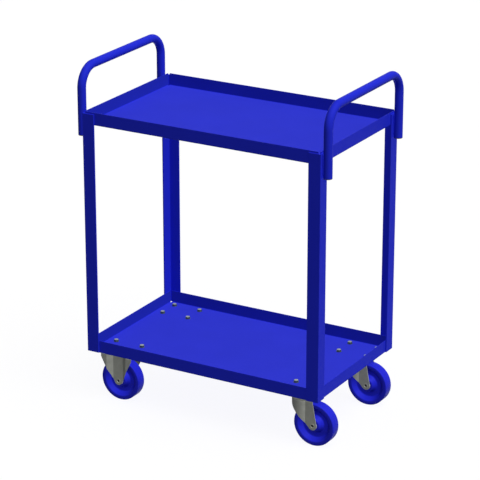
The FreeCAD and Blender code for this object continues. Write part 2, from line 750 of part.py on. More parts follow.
def make_swivel_fork():
    race = swivel_body("swivel_race_front")
    section = new_sketch(race, "race_section", "XZ")
    draw_box(section, "(race_circle - race_width) / 2", "(race_circle + race_width) / 2",
             "-crown_drop", f"-{RACE_TOP}")
    revolve(race, section)
    cut_ball_track(race)
    front_and_rear("swivel_race_*", race)

    washer = swivel_body("pivot_washer_front")
    section = new_sketch(washer, "pivot_section", "XZ")
    top = f"-({CROWN_BOTTOM} + end_play)"
    draw_box(section, "pin_diameter / 2 + end_play", "pivot_washer / 2", f"{top} - pivot_washer_gauge", top)
    revolve(washer, section)
    front_and_rear("pivot_washer_*", washer)

    fork = swivel_body("swivel_fork_front")
    tail = f"({TRAIL} + tip_radius)"

    def at_shoulder(edge):
        """An upright edge where the round nose meets a straight side."""
        return upright(edge) and 0 < edge.Vertexes[0].X < value("nose_radius")

    for name, sunk, wall, depth in [
        ("shell", "crown_drop", "0", f"{AXLE_DROP} + tip_radius - crown_drop"),
        ("hollow", CROWN_BOTTOM, "fork_gauge", None),
    ]:
        nose = new_sketch(fork, "fork_nose_" + name, "XY", f"-{sunk}")
        draw_circle(nose, "-nose_offset", "0", f"nose_radius - {wall}")
        sides = new_sketch(fork, "fork_sides_" + name, "XY", f"-{sunk}")
        half_width = f"({FORK_OUTSIDE} / 2 - {wall})"
        draw_box(sides, "-nose_offset", f"{tail} + {wall}", f"-{half_width}", half_width)
        if depth:
            pad(fork, nose, depth, reverse=True)
            pad(fork, sides, depth, reverse=True)
            round_edges(fork, "fork_blend", at_shoulder)
            round_edges(fork, "crown_round", lambda e: level_at(e, "-crown_drop")
                        and not near(e.BoundBox.XMin, tail))
        else:
            pocket(fork, nose, AXLE_DROP)
            pocket(fork, sides, AXLE_DROP)
            round_edges(fork, "fork_blend + fork_gauge", at_shoulder)
            round_edges(fork, "crown_round - fork_gauge", lambda e: level_at(e, f"-{CROWN_BOTTOM}")
                        and not near(e.BoundBox.XMin, tail))
    front = "(nose_offset + nose_radius)"
    keep_inside(fork, "fork_outline", [
        ("crown_back", "0"),
        (f"-{front}", "0"),
        (f"-{front}", "-lead_drop"),
        (TRAIL, f"-{AXLE_DROP}", "tip_radius"),
        ("crown_back", "-back_drop"),
    ])
    bore = new_sketch(fork, "fork_kingpin_hole", "XY")
    draw_circle(bore, "0", "0", "pin_diameter / 2 + end_play")
    pocket(fork, bore)
    drill_axle_hole(fork, TRAIL)
    front_and_rear("swivel_fork_*", fork)


# Wheels. Each turns on a hollow axle that is flared over the outer faces of its fork.
def wheel_part(name, x):
    return new_body(name.replace("*", "front"), x, f"-{CASTER_Y}", "wheel_diameter / 2")


def make_wheel_set(kind, side, x, inside):
    wheel_name = f"wheel_*_{side}"
    bush_name = f"wheel_bush_*_{side}"
    bore = f"({AXLE_RADIUS} + running_gap)"
    wheel = wheel_part(wheel_name, x)
    section = new_sketch(wheel, wheel.Name + "_section", "XY")
    half = [
        (f"{bore} + bush_wall + press_gap", "hub_length / 2"),
        ("hub_end / 2", "hub_length / 2"),
        ("hub_base / 2", "web_thickness / 2"),
        ("wheel_diameter / 2 - rim_height - rim_slope", "web_thickness / 2"),
        ("wheel_diameter / 2 - rim_height", "wheel_width / 2"),
        ("wheel_diameter / 2 - tread_edge", "wheel_width / 2"),
        ("wheel_diameter / 2", "wheel_width / 2 - tread_edge"),
    ]
    draw(section, [(r, f"-({y})") for r, y in half] + half[::-1])
    revolve(wheel, section)
    front_and_rear(wheel_name, wheel)

    bush = wheel_part(bush_name, x)
    section = new_sketch(bush, bush.Name + "_section", "XY")
    draw_box(section, bore, f"{bore} + bush_wall", "-hub_length / 2", "hub_length / 2")
    revolve(bush, section)
    front_and_rear(bush_name, bush)

    axle = wheel_part(f"{kind}_axle_*", x)
    section = new_sketch(axle, axle.Name + "_section", "XY")
    face = f"({inside} / 2 + fork_gauge)"
    end = f"({face} + axle_proud)"
    half = [
        ("axle_bore / 2", f"{end} - axle_flare"),
        ("axle_bore / 2 + axle_flare", end),
        (f"{AXLE_RADIUS} + axle_flare", end),
        (f"{AXLE_RADIUS} + axle_flare", face),
        (AXLE_RADIUS, face),
    ]
    draw(section, [(r, f"-({y})") for r, y in half] + half[::-1])
    revolve(axle, section)
    front_and_rear(f"{kind}_axle_*", axle)

    washers = wheel_part(f"{kind}_thrust_washers_*", x)
    section = new_sketch(washers, washers.Name + "_section", "XY")
    inner, outer = "(hub_length / 2 + end_play)", f"({inside} / 2 - end_play)"
    draw_box(section, bore, "thrust_diameter / 2", inner, outer)
    draw_box(section, bore, "thrust_diameter / 2", f"-{outer}", f"-{inner}")
    revolve(washers, section)
    front_and_rear(f"{kind}_thrust_washers_*", washers)


make_legs()
make_trays()
make_handles()
make_handle_ends()
make_fasteners()
make_fixed_bracket()
make_swivel_head()
make_swivel_fork()
make_wheel_set("fixed", "left", f"-{CASTER_X}", BRACKET_INSIDE)
make_wheel_set("swivel", "right", f"{CASTER_X} + {TRAIL}", FORK_INSIDE)
DOC.recompute()

for thing in DOC.Objects:
    if "Invalid" in thing.State or "Error" in thing.State:
        raise RuntimeError(f"{thing.Name} did not build: {thing.State}")
os.makedirs("parts", exist_ok=True)
for name, thing in NODES.items():
    shape = thing.Shape
    if shape.isNull() or not shape.isValid() or not shape.Solids:
        raise RuntimeError(f"{name} is not a valid solid")
    shape.exportStep(f"parts/{name}.step")
    print(name, len(shape.Solids), "solids,", round(shape.Volume), "cubic mm")
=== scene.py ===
# %% [markdown]
# # A blue shelf cart, dressed piece by piece
#
# The cart is two folded steel trays between four angle legs, with a bent tube handle at each end and
# four casters. Its construction comes first and stays fixed: every piece is loaded at its real size, in
# metres, with the floor at zero, +Z up and +X along the trays. What is left to do here is the look of
# each surface, and the small shapes that a catalogue picture of such a cart lives from: rounded sheet
# edges, turned wheels, hexagon bolts and weld beads.

import json
import math

import bmesh
import bpy
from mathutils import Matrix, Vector


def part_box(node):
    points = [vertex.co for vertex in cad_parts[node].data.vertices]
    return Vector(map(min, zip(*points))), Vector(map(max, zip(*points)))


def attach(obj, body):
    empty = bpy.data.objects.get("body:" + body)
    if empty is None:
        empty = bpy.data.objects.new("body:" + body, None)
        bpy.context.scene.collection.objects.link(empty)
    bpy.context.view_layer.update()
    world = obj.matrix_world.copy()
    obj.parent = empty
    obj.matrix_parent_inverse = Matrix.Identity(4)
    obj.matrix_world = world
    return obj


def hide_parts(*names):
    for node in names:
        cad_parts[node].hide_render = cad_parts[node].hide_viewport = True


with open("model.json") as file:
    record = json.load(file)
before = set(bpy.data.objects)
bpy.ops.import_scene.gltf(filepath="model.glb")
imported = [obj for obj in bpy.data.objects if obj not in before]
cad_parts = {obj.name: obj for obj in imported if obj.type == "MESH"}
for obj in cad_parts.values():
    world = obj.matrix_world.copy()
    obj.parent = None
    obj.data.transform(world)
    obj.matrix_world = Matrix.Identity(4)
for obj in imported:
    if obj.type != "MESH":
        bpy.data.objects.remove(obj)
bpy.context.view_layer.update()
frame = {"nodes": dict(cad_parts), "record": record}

# %% [markdown]
# ## Which body carries what
#
# A piece made here has to move with the part that it belongs to. The record lists the nodes of every
# body, so one small table turns a node's name into its body's name, and each new piece can ride where
# the node that it stands for would ride.

# %% Bodies of the nodes
BODY_OF = {}
for body, nodes in frame["record"]["behaviour"]["bodies"].items():
    for node in nodes:
        BODY_OF[node] = body
ENDS = ("front", "rear")
SIDES = ("left", "right")
MM = 0.001
print("wheels ride on:", [BODY_OF[f"wheel_{end}_{side}"] for end in ENDS for side in SIDES])

# %% [markdown]
# ## The camera
#
# The picture looks down at the cart from its right-hand corner. Working back from the parallel edges of
# the trays gives a heading of thirty degrees and a height of twenty, from far off with a long lens, which
# is why the two trays look almost the same size. The camera is placed from those numbers. Its shift is
# half a pixel, the distance between the centre of the frame and the corner of the middle pixel.

# %% Camera
AZIMUTH = math.radians(30)
ELEVATION = math.radians(20)
AIM = Vector((-0.0797, 0.1399, 0.4424))
DISTANCE = 7.0666
FRAME_PIXELS = 480
SENSOR = 36
LENS = 177.92

towards_camera = Vector((
    math.sin(AZIMUTH) * math.cos(ELEVATION),
    -math.cos(AZIMUTH) * math.cos(ELEVATION),
    math.sin(ELEVATION),
))
camera_data = bpy.data.cameras.new("catalogue_camera")
camera_data.sensor_width = SENSOR
camera_data.lens = LENS
camera_data.shift_x = -0.5 / FRAME_PIXELS
camera_data.shift_y = 0.5 / FRAME_PIXELS
camera = bpy.data.objects.new("catalogue_camera", camera_data)
camera.location = AIM + DISTANCE * towards_camera
camera.rotation_euler = (math.pi / 2 - ELEVATION, 0, AZIMUTH)
bpy.context.scene.collection.objects.link(camera)
bpy.context.scene.camera = camera
print("camera at", [round(c, 3) for c in camera.location])

# %% [markdown]
# ## Light
#
# The picture is lit so evenly that the lower shelf is as bright as the upper one. Surfaces that face up
# are brightest, those that face right come next, and those that face left are darkest. So one broad light
# stands high on the right and a little to the front. It is given as two lamps: a weak key that casts the
# cart's soft shadow, and a strong lamp from the same side that casts none, so that it reaches under the
# upper tray as well. A weak world adds a level fill, and the background is white only for rays that come
# from the camera, a mirror or a clear surface, so it lights nothing.

# %% Lamps and world
WORLD_FILL = 0.10
KEY_STRENGTH = 0.2
EVEN_STRENGTH = 3.35
LAMP_SOFTNESS = 50
TOWARDS_LAMPS = Vector((0.52, -0.13, 0.844))

scene = bpy.context.scene
scene.view_settings.view_transform = "Standard"


def seen_directly(tree):
    """A node output that is 1 for rays from the camera, a mirror or a clear surface."""
    path = tree.nodes.new("ShaderNodeLightPath")
    mirror = tree.nodes.new("ShaderNodeMath")
    mirror.operation = "MAXIMUM"
    either = tree.nodes.new("ShaderNodeMath")
    either.operation = "MAXIMUM"
    tree.links.new(path.outputs["Is Camera Ray"], mirror.inputs[0])
    tree.links.new(path.outputs["Is Glossy Ray"], mirror.inputs[1])
    tree.links.new(mirror.outputs[0], either.inputs[0])
    tree.links.new(path.outputs["Is Transmission Ray"], either.inputs[1])
    return either.outputs[0]


world = bpy.data.worlds.new("studio")
world.use_nodes = True
scene.world = world
tree = world.node_tree
tree.nodes.clear()
out = tree.nodes.new("ShaderNodeOutputWorld")
fill = tree.nodes.new("ShaderNodeBackground")
fill.inputs["Strength"].default_value = WORLD_FILL
white = tree.nodes.new("ShaderNodeBackground")
white.inputs["Color"].default_value = (1, 1, 1, 1)
pick = tree.nodes.new("ShaderNodeMixShader")
tree.links.new(seen_directly(tree), pick.inputs[0])
tree.links.new(fill.outputs[0], pick.inputs[1])
tree.links.new(white.outputs[0], pick.inputs[2])
tree.links.new(pick.outputs[0], out.inputs[0])


def add_sun(name, strength, shadow):
    """A distant lamp high on the right. Its softness is the angle that it fills in the sky."""
    lamp = bpy.data.lights.new(name, "SUN")
    lamp.energy = strength
    lamp.angle = math.radians(LAMP_SOFTNESS)
    lamp.use_shadow = shadow
    holder = bpy.data.objects.new(name, lamp)
    holder.rotation_euler = TOWARDS_LAMPS.to_track_quat("Z", "Y").to_euler()
    scene.collection.objects.link(holder)
    return holder


key = add_sun("key_lamp", KEY_STRENGTH, True)
even = add_sun("even_lamp", EVEN_STRENGTH, False)
print("lamps:", key.name, even.name)

# %% [markdown]
# ## The floor
#
# A studio floor is a wide pale sheet. Seen by the camera it should be as white as the background and still
# hold the cart's soft shadow. So its material is a plain grey, and a glow, for rays that see it directly,
# lifts it to white where nothing shades it. The light that it gives back to the cart comes from a darker
# grey, because in the picture the faces that turn away from the lamps stay dark.

# %% Floor
FLOOR_REACH = 12.0
FLOOR_BOUNCE = (0.18, 0.18, 0.18, 1)
FLOOR_SEEN = (0.55, 0.55, 0.55, 1)
FLOOR_GLOW = 0.44
bm = bmesh.new()
bmesh.ops.create_grid(bm, x_segments=1, y_segments=1, size=FLOOR_REACH)
floor_mesh = bpy.data.meshes.new("floor")
bm.to_mesh(floor_mesh)
bm.free()
floor = bpy.data.objects.new("floor", floor_mesh)
scene.collection.objects.link(floor)
floor_finish = bpy.data.materials.new("floor_white")
floor_finish.use_nodes = True
tree = floor_finish.node_tree
shader = tree.nodes["Principled BSDF"]
tone = tree.nodes.new("ShaderNodeMix")
tone.data_type = "RGBA"
tone.inputs["A"].default_value = FLOOR_BOUNCE
tone.inputs["B"].default_value = FLOOR_SEEN
tree.links.new(seen_directly(tree), tone.inputs["Factor"])
tree.links.new(tone.outputs["Result"], shader.inputs["Base Color"])
shader.inputs["Roughness"].default_value = 0.9
shader.inputs["Specular IOR Level"].default_value = 0.0
shader.inputs["Emission Color"].default_value = (1, 1, 1, 1)
glow = tree.nodes.new("ShaderNodeMath")
glow.operation = "MULTIPLY"
glow.inputs[1].default_value = FLOOR_GLOW
tree.links.new(seen_directly(tree), glow.inputs[0])
tree.links.new(glow.outputs[0], shader.inputs["Emission Strength"])
floor_finish.cycles.emission_sampling = "NONE"
floor.data.materials.append(floor_finish)
print("floor reaches", FLOOR_REACH, "m each way")

# %% [markdown]
# ## Finishes
#
# Every finish on the cart is a close relative of the others: one colour that wanders a little, a gloss
# that wanders a little, and a fine relief. So one helper lays down that common ground from a few numbers,
# and each finish then only says how strong each part of it is. The pattern is read from the object's own
# coordinates, in metres, so a scale of 900 means a grain of about a millimetre.

# %% A helper for finishes
def new_finish(name, colour, wander, grain, relief, roughness, metallic=0.0, specular=0.5):
    """A procedural finish. colour is linear, wander is how far it drifts, grain is patterns per metre
    for the drift and the relief, relief is its depth in metres, and roughness is a (low, high) pair."""
    finish = bpy.data.materials.new(name)
    finish.use_nodes = True
    tree = finish.node_tree
    nodes, links = tree.nodes, tree.links
    shader = nodes["Principled BSDF"]
    shader.inputs["Metallic"].default_value = metallic
    shader.inputs["Specular IOR Level"].default_value = specular
    place = nodes.new("ShaderNodeTexCoord")

    drift = nodes.new("ShaderNodeTexNoise")
    drift.inputs["Scale"].default_value = grain[0]
    drift.inputs["Detail"].default_value = 4
    links.new(place.outputs["Object"], drift.inputs["Vector"])
    ramp = nodes.new("ShaderNodeValToRGB")
    low = [channel * (1 - wander) for channel in colour]
    high = [min(1.0, channel * (1 + wander)) for channel in colour]
    ramp.color_ramp.elements[0].position = 0.3
    ramp.color_ramp.elements[0].color = (*low, 1)
    ramp.color_ramp.elements[1].position = 0.7
    ramp.color_ramp.elements[1].color = (*high, 1)
    links.new(drift.outputs["Fac"], ramp.inputs["Fac"])
    links.new(ramp.outputs["Color"], shader.inputs["Base Color"])

    gloss = nodes.new("ShaderNodeMapRange")
    gloss.inputs["To Min"].default_value = roughness[0]
    gloss.inputs["To Max"].default_value = roughness[1]
    links.new(drift.outputs["Fac"], gloss.inputs["Value"])
    links.new(gloss.outputs["Result"], shader.inputs["Roughness"])

    skin = nodes.new("ShaderNodeTexNoise")
    skin.inputs["Scale"].default_value = grain[1]
    skin.inputs["Detail"].default_value = 2
    links.new(place.outputs["Object"], skin.inputs["Vector"])
    bump = nodes.new("ShaderNodeBump")
    bump.inputs["Distance"].default_value = relief
    links.new(skin.outputs["Fac"], bump.inputs["Height"])
    links.new(bump.outputs["Normal"], shader.inputs["Normal"])
    return finish


# %% [markdown]
# ## Powder coat and moulded blue
#
# The frame is powder coated: an even, saturated blue with the faint orange peel that the powder leaves as
# it melts. The wheels are one solid moulding in nearly the same blue, without the peel but with a satin
# skin. Both reflect very little, which keeps the blue pure where the light grazes it.
#
# Two more blues are no paints of their own, but corrections towards the picture. The inner lips of the
# trays came out too bright beside it, because here they are also lit by the shelf floors, so they get a
# blue that is a quarter darker, a painted shade. The shelf floors get a slightly paler one that hardly
# reflects, a painted reflection of the light on faces that look up, because a paler blue all over made the
# front lips too red.

# %% Blue finishes
POWDER = {"wander": 0.03, "grain": (9, 700), "relief": 0.00003}
BLUE_PAINT = new_finish(
    "blue_powder_coat",
    colour=(0.0155, 0.0245, 0.565),
    roughness=(0.40, 0.50),
    specular=0.020,
    **POWDER,
)
# Painted reflection: a paler blue for the shelf floors, for the light that faces looking up catch.
PAINTED_REFLECTION_BLUE = new_finish(
    "blue_powder_coat_painted_reflection",
    colour=(0.0285, 0.0375, 0.575),
    roughness=(0.50, 0.60),
    specular=0.004,
    **POWDER,
)
# Painted shade: a blue a quarter darker for the inner lips of the trays.
PAINTED_SHADE_BLUE = new_finish(
    "blue_powder_coat_painted_shade",
    colour=(0.0180, 0.0285, 0.425),
    roughness=(0.40, 0.50),
    specular=0.020,
    **POWDER,
)
WHEEL_BLUE = new_finish(
    "wheel_polymer",
    colour=(0.0170, 0.0215, 0.57),
    wander=0.05,
    grain=(40, 1400),
    relief=0.00002,
    roughness=(0.36, 0.48),
    specular=0.04,
)
print("blue finishes:", [m.name for m in (BLUE_PAINT, PAINTED_REFLECTION_BLUE, PAINTED_SHADE_BLUE, WHEEL_BLUE)])

# %% [markdown]
# ## Plated and bare metal
#
# The caster housings are dull zinc plate, which hardly mirrors anything in the picture. So they are a matt
# grey with a hint of green and have no metallic value. Bolts, nuts and washers are darker and glossier,
# their darker grey in part painted shade on their sides, and the flat tops of the heads are a paler, matt
# grey, a painted highlight, as the picture shows them. Races, balls and kingpins are ground steel, and the
# bushes and pivot washers are bronze.
#
# The darker zinc on the insides of the brackets and the tops of the forks is painted shade, a correction
# like
# the two blues: they came out too bright beside the picture. The near-black inside of the bore is painted
# shade too, and it shows that the hollow axles are open.

# %% Metal finishes
CASTER_ZINC = new_finish(
    "dull_zinc",
    colour=(0.370, 0.382, 0.342),
    wander=0.08,
    grain=(70, 900),
    relief=0.00003,
    roughness=(0.50, 0.62),
    specular=0.06,
)
# Painted shade: a much darker grey for the insides of the brackets and the tops of the forks.
PAINTED_SHADE_ZINC = new_finish(
    "zinc_painted_shade",
    colour=(0.15, 0.155, 0.14),
    wander=0.15,
    grain=(70, 900),
    relief=0.00003,
    roughness=(0.60, 0.75),
    specular=0.04,
)
# The darker grey of bolts, nuts and washers is in part painted shade on their sides.
BOLT_ZINC = new_finish(
    "bright_zinc",
    colour=(0.10, 0.135, 0.13),
    wander=0.08,
    grain=(160, 1500),
    relief=0.00002,
    roughness=(0.28, 0.38),
    metallic=0.6,
    specular=0.1,
)
# Painted highlight: a paler grey for the flat tops of the bolt heads.
PAINTED_HIGHLIGHT_ZINC = new_finish(
    "zinc_head_painted_highlight",
    colour=(0.30, 0.33, 0.34),
    wander=0.08,
    grain=(160, 1500),
    relief=0.00002,
    roughness=(0.40, 0.50),
    specular=0.1,
)
GROUND_STEEL = new_finish(
    "ground_steel",
    colour=(0.46, 0.46, 0.47),
    wander=0.05,
    grain=(200, 2500),
    relief=0.00001,
    roughness=(0.22, 0.32),
    metallic=0.8,
)
BRONZE = new_finish(
    "oiled_bronze",
    colour=(0.40, 0.22, 0.08),
    wander=0.12,
    grain=(220, 3000),
    relief=0.00002,
    roughness=(0.35, 0.50),
    metallic=1.0,
)
# Painted shade: near black for the faces inside the hollow axles.
PAINTED_SHADE_BORE = new_finish(
    "bore_painted_shade",
    colour=(0.02, 0.02, 0.02),
    wander=0.10,
    grain=(200, 2000),
    relief=0.00002,
    roughness=(0.60, 0.80),
    specular=0.05,
)
METALS = (CASTER_ZINC, PAINTED_SHADE_ZINC, BOLT_ZINC, PAINTED_HIGHLIGHT_ZINC, GROUND_STEEL, BRONZE, PAINTED_SHADE_BORE)
print("metal finishes:", [m.name for m in METALS])

# %% [markdown]
# ## Small plastics
#
# The dust rings and the plugs in the tube ends are black, and the thrust washers beside the wheels are
# natural nylon, a warm white. Moulded parts like these have a fine even grain and a soft gloss.

# %% Plastic finishes
BLACK_PLASTIC = new_finish(
    "black_plastic",
    colour=(0.018, 0.018, 0.020),
    wander=0.10,
    grain=(60, 2200),
    relief=0.00003,
    roughness=(0.45, 0.60),
    specular=0.4,
)
NYLON = new_finish(
    "natural_nylon",
    colour=(0.62, 0.60, 0.54),
    wander=0.04,
    grain=(120, 2500),
    relief=0.00002,
    roughness=(0.40, 0.50),
    specular=0.4,
)
FINISH_OF_SLOT = {
    "blue_paint": BLUE_PAINT,
    "wheel_blue": WHEEL_BLUE,
    "caster_zinc": CASTER_ZINC,
    "bolt_zinc": BOLT_ZINC,
    "bright_steel": GROUND_STEEL,
    "bronze": BRONZE,
    "nylon": NYLON,
    "black_plastic": BLACK_PLASTIC,
}
SLOT_OF = {row["node"]: row["material_slot"] for row in frame["record"]["subparts"]}
for node, obj in frame["nodes"].items():
    finish = FINISH_OF_SLOT[SLOT_OF[node]]
    if not obj.material_slots:
        obj.data.materials.append(finish)
    for material_slot in obj.material_slots:
        material_slot.material = finish
print("finished nodes:", len(frame["nodes"]))

# %% [markdown]
# ## Two helpers for new pieces
#
# A new piece starts as a bmesh, becomes an object at the origin with smooth shading up to its sharp
# edges, and then stands for one or more nodes of the construction: it rides on their body, wears their
# finish, and they are hidden.

# %% Helpers for pieces
def add_piece(name, bm, finish, smooth_below=35):
    """Turn a bmesh into an object at the origin, shaded smooth except at sharp edges."""
    mesh = bpy.data.meshes.new(name)
    bm.to_mesh(mesh)
    bm.free()
    mesh.shade_smooth()
    mesh.set_sharp_from_angle(angle=math.radians(smooth_below))
    mesh.materials.append(finish)
    piece = bpy.data.objects.new(name, mesh)
    scene.collection.objects.link(piece)
    return piece


def dress(node, bm, smooth_below=35):
    """Show a new piece in place of a CAD node, on its body and with its finish."""
    open_edges = sum(1 for edge in bm.edges if not edge.is_manifold)
    piece = add_piece(node + "_dressed", bm, FINISH_OF_SLOT[SLOT_OF[node]], smooth_below)
    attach(piece, BODY_OF[node])
    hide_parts(node)
    print(piece.name, "faces:", len(piece.data.polygons), "open edges:", open_edges)
    return piece


# %% [markdown]
# ## Rounded edges on sheet and angle
#
# Folded and sheared steel never has a knife edge: the shears leave a tiny radius and the powder fills it
# out. That radius is what catches the light along a lip. The shapes themselves are already right, so each
# sheet piece starts as a copy of its node. The copy's loose triangles are merged, its flat faces are made
# whole, and a bevel of a few tenths of a millimetre goes round every sharp edge.

# %% A helper for sheet pieces
WELD = 0.000005
LEG_EDGE = 0.5 * MM
TRAY_EDGE = 0.35 * MM
PRESSING_EDGE = 0.4 * MM


def merged_copy(node):
    """The node's own mesh as a bmesh, with its triangles joined into closed solids."""
    bm = bmesh.new()
    bm.from_mesh(frame["nodes"][node].data)
    bmesh.ops.remove_doubles(bm, verts=bm.verts, dist=WELD)
    return bm


def soften(node, radius, segments=2, sharp=40):
    """Show a copy of the node with a small radius on every edge sharper than an angle."""
    bm = merged_copy(node)
    bmesh.ops.dissolve_limit(bm, angle_limit=math.radians(0.1), verts=bm.verts, edges=bm.edges)
    edges = [e for e in bm.edges if e.is_manifold and e.calc_face_angle() > math.radians(sharp)]
    bmesh.ops.bevel(
        bm,
        geom=edges,
        offset=radius,
        offset_type="OFFSET",
        affect="EDGES",
        segments=segments,
        profile=0.5,
        clamp_overlap=True,
        material=-1,
    )
    piece = dress(node, bm, 25)
    level = piece.modifiers.new("flat_faces_stay_flat", "WEIGHTED_NORMAL")
    level.keep_sharp = True
    level.weight = 100
    return piece


for end in ENDS:
    for side in SIDES:
        soften(f"leg_{end}_{side}", LEG_EDGE)

# %% [markdown]
# ## Second finishes on one piece
#
# Some pieces wear two or three finishes: the trays, the caster pressings, the axles and the bolts. They
# could be cut into separate objects, but then the edges between them would no longer be rounded in one go.
# So each stays one mesh, and a test on the direction and the place of a face says which faces change. The
# length of a normal is 1, so its Z is 1 for a face that looks straight up and 0 for an upright one.

# %% A helper for second finishes, and the trays
LOOKS_UP = 0.95
STANDS = 0.3
FLOOR_DEPTH = 3 * MM


def refinish(piece, finish, chosen):
    """Give a second finish to the faces that a test chooses."""
    piece.data.materials.append(finish)
    faces = [face for face in piece.data.polygons if chosen(face)]
    for face in faces:
        face.material_index = len(piece.data.materials) - 1
    print(piece.name, "faces in", finish.name, len(faces))


def inner_lip(face):
    """Whether a tray's face stands upright and looks towards the middle of the cart."""
    return abs(face.normal.z) < STANDS and face.normal.xy.dot(face.center.xy) < 0


for node in ("top_tray", "bottom_tray"):
    tray = soften(node, TRAY_EDGE)
    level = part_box(node)[0].z + FLOOR_DEPTH
    # The shelf floors get a painted reflection and the inner lips a painted shade.
    refinish(tray, PAINTED_REFLECTION_BLUE, lambda face: face.normal.z > LOOKS_UP and face.center.z < level)
    refinish(tray, PAINTED_SHADE_BLUE, inner_lip)

# %% Caster pressings
LOOKS_ACROSS = 0.5
SLOPES_UP = 0.35
for end in ENDS:
    soften(f"swivel_plate_{end}", PRESSING_EDGE)
    for kind in ("fixed_bracket", "swivel_fork"):
        node = f"{kind}_{end}"
        low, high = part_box(node)
        middle = (low.y + high.y) / 2

        def inside(face):
            """Whether a face looks across the caster towards its middle."""
            across = (face.center.y - middle) * face.normal.y
            return across < 0 and abs(face.normal.y) > LOOKS_ACROSS

        def on_top(face):
            """Whether a face is on the upper side of a swivel fork's crown."""
            return kind == "swivel_fork" and face.normal.z > SLOPES_UP

        pressing = soften(node, PRESSING_EDGE)
        # The insides of the brackets and forks and the tops of the crowns get a painted shade.
        refinish(pressing, PAINTED_SHADE_ZINC, lambda face: inside(face) or on_top(face))

# %% [markdown]
# ## Turned pieces
#
# Wheels, axles, washers and plugs are all round, so each one is half a section spun about its axis. The
# section is a closed loop of points, given as distance from the axis and place along it. Its corners are
# rounded before it is spun, which is far easier than rounding the finished solid. The spin merges its
# last step with its first so that the ring closes, and points on the axis are merged into one.

# %% A helper for turned pieces
def turned(section, centre, along, radius=0.0, steps=96, rounds=3):
    """A closed section of (distance from axis, place along axis), spun about an axis through a centre.
    along is "Y" or "Z". radius rounds every corner of the section that is off the axis."""
    bm = bmesh.new()
    corners = []
    for reach, place in section:
        spot = (reach, place, 0) if along == "Y" else (reach, 0, place)
        corners.append(bm.verts.new(spot))
    for first, second in zip(corners, corners[1:] + corners[:1]):
        bm.edges.new((first, second))
    if radius:
        bmesh.ops.bevel(
            bm,
            geom=[vert for vert in bm.verts if vert.co.x > WELD],
            offset=radius,
            offset_type="OFFSET",
            affect="VERTICES",
            segments=rounds,
            profile=0.5,
            clamp_overlap=True,
            material=-1,
        )
    bmesh.ops.spin(
        bm,
        geom=bm.verts[:] + bm.edges[:],
        cent=(0, 0, 0),
        axis=(0, 1, 0) if along == "Y" else (0, 0, 1),
        dvec=(0, 0, 0),
        angle=2 * math.pi,
        steps=steps,
        use_merge=True,
        use_duplicate=False,
    )
    bmesh.ops.remove_doubles(bm, verts=bm.verts, dist=WELD)
    bmesh.ops.recalc_face_normals(bm, faces=bm.faces)
    bmesh.ops.translate(bm, verts=bm.verts, vec=centre)
    return bm


def both_ways(half):
    """A section that is the same on both sides of its middle, from its half at the far end."""
    return [(reach, -place) for reach, place in half] + half[::-1]


def box_of(node):
    """The middle of a node's box at rest, and its size."""
    low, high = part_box(node)
    return (low + high) / 2, high - low


# %% [markdown]
# ## Wheels
#
# Each wheel is one moulding: a flat tread with a small radius at its edges, a flat rim face, a conical
# wall that falls to a thin web, and a conical hub that stands out again as far as the fork allows. The
# tread, the hub and the bore are measured on the construction, and the rest repeats its sizes. The
# bearing bush is a separate bronze tube, and it stays as it is.

# %% Wheels
RIM_RADIUS = 51.5 * MM
WEB_RADIUS = 41 * MM
WEB_THICKNESS = 7 * MM
HUB_BASE_RADIUS = 27 * MM
HUB_END_RADIUS = 19.5 * MM
WHEEL_WIDTH = 34 * MM
TREAD_EDGE = 2.4 * MM
for end in ENDS:
    for side in SIDES:
        node = f"wheel_{end}_{side}"
        centre, size = box_of(node)
        bore = box_of(f"wheel_bush_{end}_{side}")[1].z / 2
        half = [
            (bore, size.y / 2),
            (HUB_END_RADIUS, size.y / 2),
            (HUB_BASE_RADIUS, WEB_THICKNESS / 2),
            (WEB_RADIUS, WEB_THICKNESS / 2),
            (RIM_RADIUS, WHEEL_WIDTH / 2),
            (size.z / 2, WHEEL_WIDTH / 2),
        ]
        dress(node, turned(both_ways(half), centre, "Y", TREAD_EDGE, steps=128, rounds=5))

# %% [markdown]
# ## Axles and thrust washers
#
# Each wheel turns on a hollow axle whose two ends are flared over the fork like a rivet, so a small ring
# with a dark hole shows on the outside. The flare gets round shoulders. A nylon washer on each side keeps
# the hub off the steel.

# %% Axles
AXLE_BORE = 4 * MM
AXLE_FLARE = 1 * MM
FLARE_THICKNESS = 0.8 * MM
FLARE_EDGE = 0.35 * MM
for end in ENDS:
    for kind in ("fixed", "swivel"):
        node = f"{kind}_axle_{end}"
        centre, size = box_of(node)
        flare = size.z / 2
        tip = size.y / 2
        half = [
            (AXLE_BORE, tip - AXLE_FLARE),
            (AXLE_BORE + AXLE_FLARE, tip),
            (flare, tip),
            (flare, tip - FLARE_THICKNESS),
            (flare - AXLE_FLARE, tip - FLARE_THICKNESS),
        ]

        def in_bore(face):
            """Whether a face is nearer to the axis than the bore's wall."""
            away = face.center - centre
            return math.hypot(away.x, away.z) < AXLE_BORE

        axle = dress(node, turned(both_ways(half), centre, "Y", FLARE_EDGE, steps=64))
        # The faces inside the bore get a painted shade.
        refinish(axle, PAINTED_SHADE_BORE, in_bore)

# %% [markdown]
# ## Pieces that come in sets
#
# The bolts, nuts, washers, plugs and beads each form one node with many solids. To place new ones, the
# solids are told apart by walking from vertex to vertex inside the merged copy, and each walk gives the
# middle and the size of one solid. A set is then one small pattern, copied to every place.

